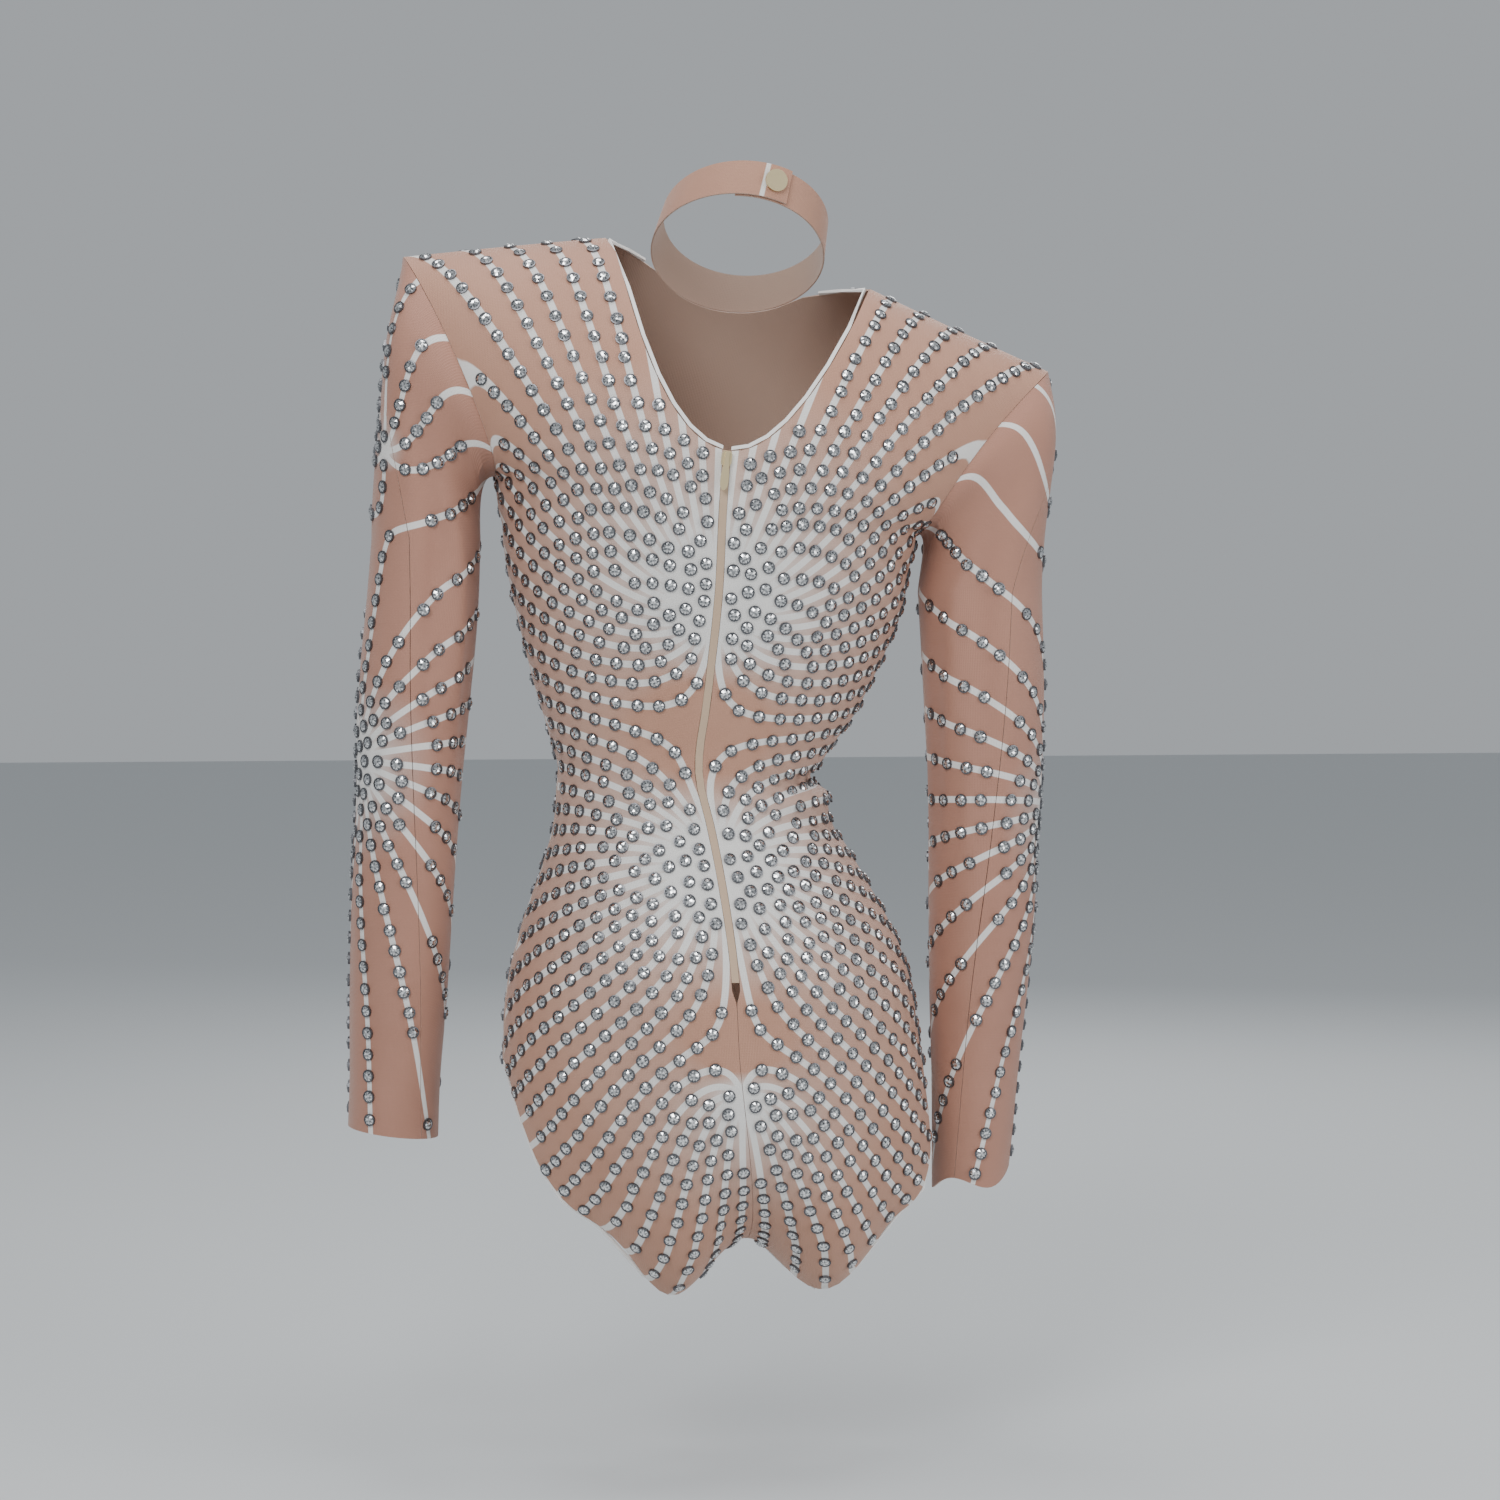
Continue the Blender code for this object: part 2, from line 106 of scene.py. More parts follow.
# Angle of the second sleeve seam from the outer side towards the back, along the sleeve
backSeam = table("along angle", (0, 0), (0.3, 22), (0.6, 52), (1, 70), (1.3, 86), (1.6, 106), (2, 127))

# Folds: where, how long and wide, how deep (plus is a ridge) and how far they tip
torsoFolds = table("x height long wide deep tip",
                   (-88, 312, 46, 8, 5.0, -8), (-84, 326, 42, 7, -6.0, -8), (-70, 294, 36, 8, -3.5, 14),
                   (92, 322, 34, 10, -2.0, 6), (-128, 488, 26, 7, -2.5, 48), (128, 488, 26, 7, -2.5, -48))
sleeveFolds = table("angle along long wide deep tip",
                    (100, 0.95, 0.42, 15, -4.5, 0), (128, 1.08, 0.30, 12, 3.0, 18), (150, 1.30, 0.16, 22, -3.0, 0),
                    (-150, 1.34, 0.10, 30, -2.5, 0), (20, 1.44, 0.08, 34, -2.0, 0), (60, 1.80, 0.10, 30, -1.8, 0))


def along(rows, name, at):
    x, y = rows["at"], rows[name]
    slope = np.gradient(y, x)
    at = np.clip(at, x[0], x[-1])
    i = np.clip(np.searchsorted(x, at) - 1, 0, len(x) - 2)
    step = x[i + 1] - x[i]
    t = (at - x[i]) / step
    start = (2 * t ** 3 - 3 * t ** 2 + 1) * y[i] + (t ** 3 - 2 * t ** 2 + t) * step * slope[i]
    return start + (3 * t ** 2 - 2 * t ** 3) * y[i + 1] + (t ** 3 - t ** 2) * step * slope[i + 1]


def unit(vectors):
    return vectors / np.maximum(np.linalg.norm(vectors, axis=-1, keepdims=True), 1e-9)


def pose(x, y, height):
    lean = np.radians(along(spine, "lean", height))
    turn = np.radians(along(spine, "turn", height))
    side = x * np.cos(turn) - y * np.sin(turn)
    depth = x * np.sin(turn) + y * np.cos(turn)
    below = np.minimum(height, 0)
    return np.stack([along(spine, "x", height) + side * np.cos(lean), depth,
                     along(spine, "z", height) + below + side * np.sin(lean)], axis=-1)


def shoulderLine(x):
    slope = (neckHeight - tipHeight) / (tipHalf - neckHalf)
    return neckHeight - slope * np.maximum(np.abs(x) - neckHalf, 0)


def collarFlat(turn, lift, out):
    x = (collarHalf + out - 0.12 * lift) * np.sin(turn)
    y = -8 + (collarDeep + out - 0.12 * lift) * np.cos(turn)
    return x, y, neckHeight + 51 - 0.53 * (54 - y) + lift


def frontTop(x):
    reach = np.minimum(x, strapReach)
    foot = -collarHigh / 2
    turn = math.pi - np.arcsin(reach / (collarHalf - 0.12 * foot))
    _, y, height = collarFlat(turn, foot, 0)
    t = np.clip((x - strapReach) / (neckHalf - strapReach), 0, 1)
    height = height - collarGap
    return height + (neckHeight - height) * t, -y * (1 - t) ** 1.3


def torsoFlat(side, across, row, gap):
    sign = np.where(across < 0, -1.0, 1.0)
    a = np.abs(across)
    drop = np.sin(np.clip(-row, 0, 1) * quarter)
    rise = np.sin(np.clip(row - 1, 0, 1) * quarter)
    height = hipHeight + (armpitHeight - hipHeight) * np.clip(row, 0, 1)
    leg = legBack if side > 0 else legFront
    half = along(body, "half", height)
    edge = np.where(row < 0, along(leg, "half", -row), half + (tipHalf - armpitHalf) * rise ** 1.15)
    full = half + (tipHalf - armpitHalf) * rise ** 1.15 + 30 * (1 - (1 - rise) ** 6) + 0.01
    share = np.sin(a * quarter) * (1 - rise - drop) + a * (rise + drop)
    zipRoom = zipHalf + seamGap - 0.2 * seamGap
    opened = np.clip((height - zipBottom + 14) / 8, 0, 1)
    inner = (seamGap / 2 + (zipRoom - seamGap / 2) * opened) if side > 0 else 0.0
    x = sign * (inner * np.maximum(0, 1 - 2.5 * share) + edge * share)
    flat = np.maximum(1 - (np.abs(x) / full) ** roundness, 0) ** (1 / roundness)
    depth = along(body, "back" if side > 0 else "front", height) * flat
    lobe = -seatDrop * np.sin(np.minimum(np.abs(x), seatReach) / seatReach * math.pi) ** 2
    if side < 0:
        lobe = lobe * np.clip(1 - (np.abs(x) - 14) / 30, 0, 1)
    low = hipHeight - (hipHeight - lobe) * drop
    line = shoulderLine(x)
    inside = np.minimum(np.abs(x), neckHalf)
    if side > 0:
        top = np.where(np.abs(x) < neckHalf,
                       vBottomHeight + (neckHeight - vBottomHeight) * (inside / neckHalf) ** 2, line)
        high = armpitHeight + (top - armpitHeight) * rise
        lift = (high - armpitHeight) / (line - armpitHeight)
        upper = depth * np.sqrt(np.maximum(1 - lift ** 2, 0))
    else:
        neckTop, topDepth = frontTop(inside)
        top = np.where(np.abs(x) < neckHalf, neckTop, line)
        chest = 0.8 * (1 - (inside / neckHalf) ** 2)
        high = armpitHeight + (top - armpitHeight) * (rise + (np.clip(row - 1, 0, 1) - rise) * chest)
        upper = topDepth + (depth - topDepth) * np.sqrt(np.maximum(1 - rise ** 2, 0))
    depth = np.where(row < 0, depth * np.sqrt(np.maximum(1 - drop ** 2, 0)), np.where(row > 1, upper, depth))
    height = np.where(row < 0, low, np.where(row > 1, high, height))
    return x, side * np.maximum(depth, gap), height


def torsoFrame(side, across, row):
    across, row = np.broadcast_arrays(np.asarray(across, float), np.asarray(row, float))
    step = 0.002
    a0 = np.clip(across - step, -1, 1)
    a1 = np.clip(across + step, -1, 1)
    r0 = np.clip(row - step, -1, 2)
    r1 = np.clip(row + step, -1, 2)
    over = pose(*torsoFlat(side, a1, row, 0)) - pose(*torsoFlat(side, a0, row, 0))
    up = pose(*torsoFlat(side, across, r1, 0)) - pose(*torsoFlat(side, across, r0, 0))
    normal = unit(-side * np.cross(over, up))
    x, y, height = torsoFlat(side, across, row, seamGap / 2)
    points = pose(x, y, height)
    depth = np.zeros_like(x)
    for i in range(len(torsoFolds["x"])):
        fold = {name: column[i] for name, column in torsoFolds.items()}
        tip = math.radians(fold["tip"])
        u = (x - fold["x"]) * math.cos(tip) + (height - fold["height"]) * math.sin(tip)
        v = (height - fold["height"]) * math.cos(tip) - (x - fold["x"]) * math.sin(tip)
        depth = depth + fold["deep"] * np.exp(-(u / fold["long"]) ** 2 - (v / fold["wide"]) ** 2)
    r0 = np.where(row >= 1, np.maximum(r0, 1), r0)
    up = pose(*torsoFlat(side, across, r1, 0)) - pose(*torsoFlat(side, across, r0, 0))
    return points + depth[..., None] * normal, normal, unit(over), unit(up)


def sleeveTube(hand, angle, down):
    rows = sleeveLeft if hand > 0 else sleeveRight
    tilt = np.clip((down - rows["at"][-1] + 40) / 40, 0, 1)
    wave = 5 * np.sin(3 * angle + 1) + 4 * np.cos(angle) if hand < 0 else 4 * np.cos(angle)
    x = along(rows, "x", down) + hand * along(rows, "half", down) * np.cos(angle)
    y = along(rows, "y", down) + along(rows, "deep", down) * np.sin(angle)
    return np.stack([x, y, -down + wave * tilt], axis=-1)


def sleeveSurface(hand, angle, row):
    rows = sleeveLeft if hand > 0 else sleeveRight
    joinDown, cuffDown = rows["at"][0], rows["at"][-1]
    tube = sleeveTube(hand, angle, joinDown + (cuffDown - joinDown) * np.clip(row - 1, 0, 1))
    armholeRow = 2 - np.clip((np.abs(angle) - seamTurn) / (math.pi - 2 * seamTurn), 0, 1)
    back = torsoFrame(1, hand, armholeRow)
    front = torsoFrame(-1, hand, armholeRow)
    behind = (angle > 0)[..., None]
    start, normal, up = (np.where(behind, back[i], front[i]) for i in (0, 1, 3))
    facing = np.where(behind, 1.0, -1.0)
    start = start + seamGap * hand * facing * np.cross(normal, up)
    join = sleeveTube(hand, angle, joinDown)
    length = np.linalg.norm(join - start, axis=-1)[..., None]
    under = ((1 - np.cos(angle)) / 2)[..., None]
    beside = np.abs(np.sin(angle))[..., None]
    out = np.array([hand, 0, 0.0])
    rise = np.array([0, 0, 1.0])
    leave = out * (0.06 + 0.80 * under + 0.34 * beside * (1 - under)) + rise * (0.95 * under - 0.75)
    leave = unit(leave + np.stack([0 * angle, 0.25 * np.sin(angle), 0 * angle], axis=-1)) * length * 0.9
    arrive = -rise * length * (1.1 - 0.35 * under)
    t = np.clip(row, 0, 1)[..., None]
    head = ((2 * t ** 3 - 3 * t ** 2 + 1) * start + (t ** 3 - 2 * t ** 2 + t) * leave
            + (3 * t ** 2 - 2 * t ** 3) * join + (t ** 3 - t ** 2) * arrive)
    return np.where((row > 1)[..., None], tube, head), normal


def sleeveFrame(hand, angle, row):
    step = 0.003
    r0 = np.clip(row - step, 0, 2)
    r1 = np.clip(row + step, 0, 2)
    over = sleeveSurface(hand, angle + step, row)[0] - sleeveSurface(hand, angle - step, row)[0]
    down = sleeveSurface(hand, angle, r1)[0] - sleeveSurface(hand, angle, r0)[0]
    normal = unit(-hand * np.cross(over, down))
    points, panelNormal = sleeveSurface(hand, angle, row)
    degrees = np.degrees(angle)
    depth = np.zeros_like(degrees)
    for i in range(len(sleeveFolds["angle"])):
        fold = {name: column[i] for name, column in sleeveFolds.items()}
        u = (row - fold["along"]) / fold["long"]
        v = (degrees - fold["angle"] - fold["tip"] * u) / fold["wide"]
        depth = depth + fold["deep"] * np.exp(-u ** 2 - v ** 2)
    points = points + (depth * np.clip(row * 4, 0, 1))[..., None] * normal
    return points, np.where((row < 1e-6)[..., None], panelNormal, normal)


# Camera, light and floor
viewPlan = dict(turn=7.0, rise=3.0, distance=2.5, aim=(-0.016, 0.0, -0.300), width=1.035,
                floorDepth=-0.80, keyPower=34.0, fillPower=16.0, topPower=22.0, air=0.55)


def plainMaterial(name, colour, roughness, metallic=0.0):
    made = bpy.data.materials.new(name)
    made.use_nodes = True
    shader = made.node_tree.nodes["Principled BSDF"]
    shader.inputs["Base Color"].default_value = (*colour, 1)
    shader.inputs["Roughness"].default_value = roughness
    shader.inputs["Metallic"].default_value = metallic
    return made, made.node_tree, shader


def softLight(name, place, target, size, power):
    data = bpy.data.lights.new(name, "AREA")
    data.shape = "RECTANGLE"
    data.size, data.size_y = size
    data.energy = power
    lamp = bpy.data.objects.new(name, data)
    lamp.location = place
    lamp.rotation_euler = (Vector(target) - Vector(place)).to_track_quat("-Z", "Y").to_euler()
    bpy.context.scene.collection.objects.link(lamp)


def makeStudio():
    plan = viewPlan
    turn, rise = math.radians(plan["turn"]), math.radians(plan["rise"])
    away = Vector((math.sin(turn) * math.cos(rise), math.cos(turn) * math.cos(rise), math.sin(rise)))
    data = bpy.data.cameras.new("camera")
    data.sensor_width = 36
    data.lens = 36 * plan["distance"] / plan["width"]
    camera = bpy.data.objects.new("camera", data)
    camera.location = Vector(plan["aim"]) + away * plan["distance"]
    camera.rotation_euler = (-away).to_track_quat("-Z", "Y").to_euler()
    bpy.context.scene.collection.objects.link(camera)
    bpy.context.scene.camera = camera
    mid = plan["aim"]
    softLight("key", (0.9, 1.9, 1.1), mid, (1.1, 1.1), plan["keyPower"])
    softLight("fill", (-1.7, 1.3, 0.2), mid, (0.8, 1.6), plan["fillPower"])
    softLight("front", (-0.7, -2.0, 0.8), mid, (1.4, 1.4), plan["fillPower"])
    softLight("top", (0.1, 0.1, 1.7), mid, (1.4, 0.9), plan["topPower"])
    world = bpy.data.worlds.new("studio")
    world.use_nodes = True
    world.node_tree.nodes["Background"].inputs["Color"].default_value = (0.72, 0.76, 0.80, 1)
    world.node_tree.nodes["Background"].inputs["Strength"].default_value = plan["air"]
    bpy.context.scene.world = world
    paper, _, _ = plainMaterial("studio_floor", (0.62, 0.64, 0.65), 0.8)
    mesh = bpy.data.meshes.new("studio_floor")
    span, low = 9.0, plan["floorDepth"]
    mesh.from_pydata([(-span, -span, low), (span, -span, low), (span, span, low), (-span, span, low)],
                     [], [(0, 1, 2, 3)])
    mesh.materials.append(paper)
    floor = bpy.data.objects.new("studio_floor", mesh)
    bpy.context.scene.collection.objects.link(floor)


makeStudio()
print("studio ready")


# Shader groups shared by the cloths
def newGroup(name, inputs, outputs):
    group = bpy.data.node_groups.new(name, "ShaderNodeTree")
    for label, kind, value in inputs:
        socket = group.interface.new_socket(label, in_out="INPUT", socket_type=kind)
        if kind == "NodeSocketFloat":
            socket.default_value = value
    for label, kind in outputs:
        group.interface.new_socket(label, in_out="OUTPUT", socket_type=kind)
    return group, group.nodes.new("NodeGroupInput"), group.nodes.new("NodeGroupOutput")


def mathNode(tree, operation, first, second=None, third=None):
    node = tree.nodes.new("ShaderNodeMath")
    node.operation = operation
    for i, value in enumerate((first, second, third)):
        if value is None:
            continue
        if isinstance(value, (int, float)):
            node.inputs[i].default_value = value
        else:
            tree.links.new(value, node.inputs[i])
    return node.outputs[0]


def makeRowGroup():
    # Rows fan out from up to three centres; Line is 1 on a row's white print and 0 in the nude gaps
    inputs = [("Vector", "NodeSocketVector", None), ("Half Line", "NodeSocketFloat", 2.2),
              ("Soft", "NodeSocketFloat", 0.5)]
    for i in (1, 2, 3):
        inputs += [(f"Rays {i}", "NodeSocketFloat", 0.0), (f"Across {i}", "NodeSocketFloat", 0.0),
                   (f"Up {i}", "NodeSocketFloat", 0.0)]
    group, start, end = newGroup("rowPrint", inputs, [("Line", "NodeSocketFloat"), ("Glow", "NodeSocketFloat")])
    split = group.nodes.new("ShaderNodeSeparateXYZ")
    group.links.new(start.outputs["Vector"], split.inputs[0])
    across = mathNode(group, "MULTIPLY", split.outputs[0], 1000.0)
    up = mathNode(group, "MULTIPLY", split.outputs[1], 1000.0)
    total = slopeAcross = slopeUp = None
    for i in (1, 2, 3):
        rays = start.outputs[f"Rays {i}"]
        dx = mathNode(group, "SUBTRACT", across, start.outputs[f"Across {i}"])
        dy = mathNode(group, "SUBTRACT", up, start.outputs[f"Up {i}"])
        reach = mathNode(group, "ADD", mathNode(group, "MULTIPLY", dx, dx), mathNode(group, "MULTIPLY", dy, dy))
        reach = mathNode(group, "MAXIMUM", reach, 0.01)
        turn = mathNode(group, "MULTIPLY", mathNode(group, "ARCTAN2", dy, dx), rays)
        sx = mathNode(group, "DIVIDE", mathNode(group, "MULTIPLY", dy, rays), reach)
        sy = mathNode(group, "DIVIDE", mathNode(group, "MULTIPLY", dx, rays), reach)
        total = turn if total is None else mathNode(group, "ADD", total, turn)
        slopeAcross = sx if slopeAcross is None else mathNode(group, "ADD", slopeAcross, sx)
        slopeUp = sy if slopeUp is None else mathNode(group, "ADD", slopeUp, sy)
    rowNumber = mathNode(group, "DIVIDE", total, 2 * math.pi)
    offRow = mathNode(group, "ABSOLUTE", mathNode(group, "SUBTRACT", rowNumber, mathNode(group, "ROUND", rowNumber)))
    steep = mathNode(group, "SQRT", mathNode(group, "ADD", mathNode(group, "MULTIPLY", slopeAcross, slopeAcross),
                                             mathNode(group, "MULTIPLY", slopeUp, slopeUp)))
    steep = mathNode(group, "DIVIDE", steep, 2 * math.pi)
    away = mathNode(group, "DIVIDE", offRow, mathNode(group, "MAXIMUM", steep, 0.0005))
    edge = mathNode(group, "SUBTRACT", start.outputs["Half Line"], away)
    line = mathNode(group, "DIVIDE", edge, start.outputs["Soft"])
    clamp = group.nodes.new("ShaderNodeClamp")
    group.links.new(mathNode(group, "ADD", line, 0.5), clamp.inputs[0])
    group.links.new(clamp.outputs[0], end.inputs["Line"])
    glow = group.nodes.new("ShaderNodeMapRange")
    glow.inputs["From Min"].default_value = 0.06
    glow.inputs["From Max"].default_value = 0.20
    group.links.new(steep, glow.inputs["Value"])
    group.links.new(glow.outputs["Result"], end.inputs["Glow"])
    return group


def makeKnitGroup():
    # Fine columns of knit loops, with a slow change of shade; the pattern is laid in real millimetres
    group, start, end = newGroup(
        "knitGrain", [("Vector", "NodeSocketVector", None), ("Loops", "NodeSocketFloat", 900.0)],
        [("Height", "NodeSocketFloat"), ("Shade", "NodeSocketFloat")])
    scaled = group.nodes.new("ShaderNodeVectorMath")
    scaled.operation = "SCALE"
    group.links.new(start.outputs["Vector"], scaled.inputs[0])
    group.links.new(start.outputs["Loops"], scaled.inputs["Scale"])
    split = group.nodes.new("ShaderNodeSeparateXYZ")
    group.links.new(scaled.outputs[0], split.inputs[0])
    column = mathNode(group, "ABSOLUTE", mathNode(group, "SINE", mathNode(group, "MULTIPLY", split.outputs[0], math.pi)))
    lean = mathNode(group, "ADD", mathNode(group, "MULTIPLY", split.outputs[1], math.pi),
                    mathNode(group, "MULTIPLY", column, 1.3))
    loop = mathNode(group, "ABSOLUTE", mathNode(group, "SINE", lean))
    group.links.new(mathNode(group, "MULTIPLY", column, mathNode(group, "ADD", 0.4, loop)), end.inputs["Height"])
    cloud = group.nodes.new("ShaderNodeTexNoise")
    cloud.inputs["Scale"].default_value = 22.0
    cloud.inputs["Detail"].default_value = 4.0
    group.links.new(start.outputs["Vector"], cloud.inputs["Vector"])
    group.links.new(cloud.outputs["Fac"], end.inputs["Shade"])
    return group


rowGroup = makeRowGroup()
knitGroup = makeKnitGroup()


def mixColours(tree, amount, first, second):
    mix = tree.nodes.new("ShaderNodeMix")
    mix.data_type = "RGBA"
    for socket, value in ((mix.inputs[0], amount), (mix.inputs[6], first), (mix.inputs[7], second)):
        if isinstance(value, tuple):
            socket.default_value = (*value, 1)
        elif isinstance(value, (int, float)):
            socket.default_value = value
        else:
            tree.links.new(value, socket)
    return mix.outputs[2]


def knitMaterial(name, nude, nudeShade, white, sources, halfLine, gloss=0.62):
    made, tree, shader = plainMaterial(name, nude, gloss)
    place = tree.nodes.new("ShaderNodeUVMap")
    place.uv_map = "cloth"
    knit = tree.nodes.new("ShaderNodeGroup")
    knit.node_tree = knitGroup
    tree.links.new(place.outputs[0], knit.inputs["Vector"])
    ground = mixColours(tree, knit.outputs["Shade"], nude, nudeShade)
    if sources:
        rows = tree.nodes.new("ShaderNodeGroup")
        rows.node_tree = rowGroup
        rows.inputs["Half Line"].default_value = halfLine
        tree.links.new(place.outputs[0], rows.inputs["Vector"])
        for i, (rays, across, up) in enumerate(sources, 1):
            rows.inputs[f"Rays {i}"].default_value = rays
            rows.inputs[f"Across {i}"].default_value = across
            rows.inputs[f"Up {i}"].default_value = up
        printed = mathNode(tree, "MAXIMUM", rows.outputs["Line"], rows.outputs["Glow"])
        ground = mixColours(tree, printed, ground, white)
    tree.links.new(ground, shader.inputs["Base Color"])
    bump = tree.nodes.new("ShaderNodeBump")
    bump.inputs["Strength"].default_value = 0.35
    bump.inputs["Distance"].default_value = 0.0004
    tree.links.new(knit.outputs["Height"], bump.inputs["Height"])
    tree.links.new(bump.outputs[0], shader.inputs["Normal"])
    shader.inputs["Sheen Weight"].default_value = 0.22
    shader.inputs["Sheen Roughness"].default_value = 0.45
    return made


# Meshes
def finishMesh(name, vertices, faces, materials, picks=None, flatPlace=None, body="garment"):
    mesh = bpy.data.meshes.new(name)
    mesh.from_pydata([tuple(v) for v in np.asarray(vertices) * metre], [], faces)
    for material in materials:
        mesh.materials.append(material)
    if picks is not None:
        mesh.polygons.foreach_set("material_index", np.asarray(picks, np.int32))
    if flatPlace is not None:
        layer = mesh.uv_layers.new(name="cloth")
        corners = np.zeros(len(mesh.loops), np.int32)
        mesh.loops.foreach_get("vertex_index", corners)
        layer.data.foreach_set("uv", (flatPlace[corners] * metre).astype(np.float32).ravel())
    solid = bmesh.new()
    solid.from_mesh(mesh)
    bmesh.ops.recalc_face_normals(solid, faces=solid.faces)
    solid.to_mesh(mesh)
    solid.free()
    made = bpy.data.objects.new(name, mesh)
    bpy.context.scene.collection.objects.link(made)
    mesh.shade_smooth()
    mesh.set_sharp_from_angle(angle=math.radians(45))
    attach(made, body)
    return made


def clothWall(name, outer, normals, flat, face, reverse, thick, sideways=False):
    rows, columns = outer.shape[:2]
    count = rows * columns
    faces, picks = [], []
    for r in range(rows - 1):
        for c in range(columns - 1):
            a = r * columns + c
            faces.append((a, a + 1, a + columns + 1, a + columns))
            faces.append((count + a, count + a + columns, count + a + columns + 1, count + a + 1))
            picks += [0, 1]
    rim = [c for c in range(columns)] + [r * columns + columns - 1 for r in range(1, rows)]
    rim += [(rows - 1) * columns + c for c in range(columns - 2, -1, -1)]
    rim += [r * columns for r in range(rows - 2, 0, -1)]
    for a, b in zip(rim, rim[1:] + rim[:1]):
        faces.append((a, count + a, count + b, b))
        picks.append(1)
    vertices = np.concatenate([outer.reshape(-1, 3), (outer - thick * normals).reshape(-1, 3)])
    places = np.concatenate([flat.reshape(-1, 2)] * 2)
    return finishMesh(name, vertices, faces, (face, reverse), picks, places)


print("materials ready")

# Cloth colours and the centres that the rows of stones fan out from: rays, across and up, in millimetres
clothPlan = dict(nude=(0.53, 0.285, 0.195), nudeShade=(0.46, 0.235, 0.155), sleeveNude=(0.47, 0.235, 0.165),
                 sleeveShade=(0.40, 0.19, 0.13), white=(0.80, 0.78, 0.75), reverse=(0.60, 0.42, 0.33),
                 halfLine=2.3, thick=1.1, columns=34, rowsPerHeight=2.6)
fans = dict(back=((40, 0, 446), (40, 0, 268), (14, 0, 112)),
            front=((44, 0, 470), (38, 0, 262)),
            sleeve=((26, 12, -150), (8, 30, 60)),
            collar=((60, 0, 900),))

reverseKnit = knitMaterial("knit_reverse", clothPlan["reverse"], clothPlan["reverse"], clothPlan["white"], (), 0)
backKnit = knitMaterial("printed_knit_back", clothPlan["nude"], clothPlan["nudeShade"], clothPlan["white"],
                        fans["back"], clothPlan["halfLine"])
frontKnit = knitMaterial("printed_knit_front", clothPlan["nude"], clothPlan["nudeShade"], clothPlan["white"],
                         fans["front"], clothPlan["halfLine"])
sleeveKnit = knitMaterial("printed_knit_sleeve", clothPlan["sleeveNude"], clothPlan["sleeveShade"],
                          clothPlan["white"], fans["sleeve"], clothPlan["halfLine"])


# Body panels on a fine grid, with their flat lay as the pattern's own coordinates
def torsoLay(side, across, row):
    x, y, height = torsoFlat(side, across, row, 0)
    rise = np.sin(np.clip(row - 1, 0, 1) * quarter)
    drop = np.sin(np.clip(-row, 0, 1) * quarter)
    level = hipHeight + (armpitHeight - hipHeight) * np.clip(row, 0, 1)
    spread = (tipHalf - armpitHalf) * rise ** 1.15 + 30 * (1 - (1 - rise) ** 6) + 0.01
    full = along(body, "half", level) + spread
    flat = np.maximum(1 - (np.abs(x) / full) ** roundness, 0) ** (1 / roundness)
    ring = along(body, "back" if side > 0 else "front", level) * flat
    ring = ring * np.sqrt(np.maximum(1 - rise ** 2, 0)) * np.sqrt(np.maximum(1 - drop ** 2, 0))
    steps = np.hypot(np.diff(x, axis=1), np.diff(ring, axis=1)) * np.sign(np.diff(x, axis=1))
    middle = np.argmin(np.abs(across[0]))
    u = np.concatenate([np.zeros((len(x), 1)), np.cumsum(steps, axis=1)], axis=1)
    u = u - u[:, middle:middle + 1] + x[:, middle:middle + 1]
    rises = np.hypot(np.diff(y, axis=0), np.diff(height, axis=0))
    v = np.concatenate([np.zeros((1, x.shape[1])), np.cumsum(rises, axis=0)], axis=0)
    hip = np.argmin(np.abs(row[:, 0]))
    return np.stack([u, v - v[hip:hip + 1] + hipHeight], axis=-1)


def bodyRowsFine():
    under = -np.linspace(1, 0, 41)[:-1]
    heights = np.concatenate([np.linspace(125, 270, 38), np.linspace(272, 352, 42)[0:], np.linspace(355, 506, 40)])
    main = (heights - hipHeight) / (armpitHeight - hipHeight)
    over = 1 + np.linspace(0, 1, 50)[1:]
    return np.concatenate([under, main, over])


layers = {}


def makeBodyPanel(name, node, side, columns, face):
    rows = bodyRowsFine()
    across, row = np.broadcast_arrays(columns[None, :], rows[:, None])
    points, normals, _, _ = torsoFrame(side, across, row)
    flat = torsoLay(side, across, row)
    piece = clothWall(name, points, normals, flat, face, reverseKnit, clothPlan["thick"])
    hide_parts(node)
    layers[name] = (points, normals, flat)
    return piece


half = np.linspace(0, 1, clothPlan["columns"] + 1)
makeBodyPanel("panel_front", "front_panel", -1, np.concatenate([-half[:0:-1], half]), frontKnit)
makeBodyPanel("panel_back_left", "back_panel_left", 1, half, backKnit)
makeBodyPanel("panel_back_right", "back_panel_right", 1, np.minimum(-half, -1e-9), backKnit)
print("body panels ready")


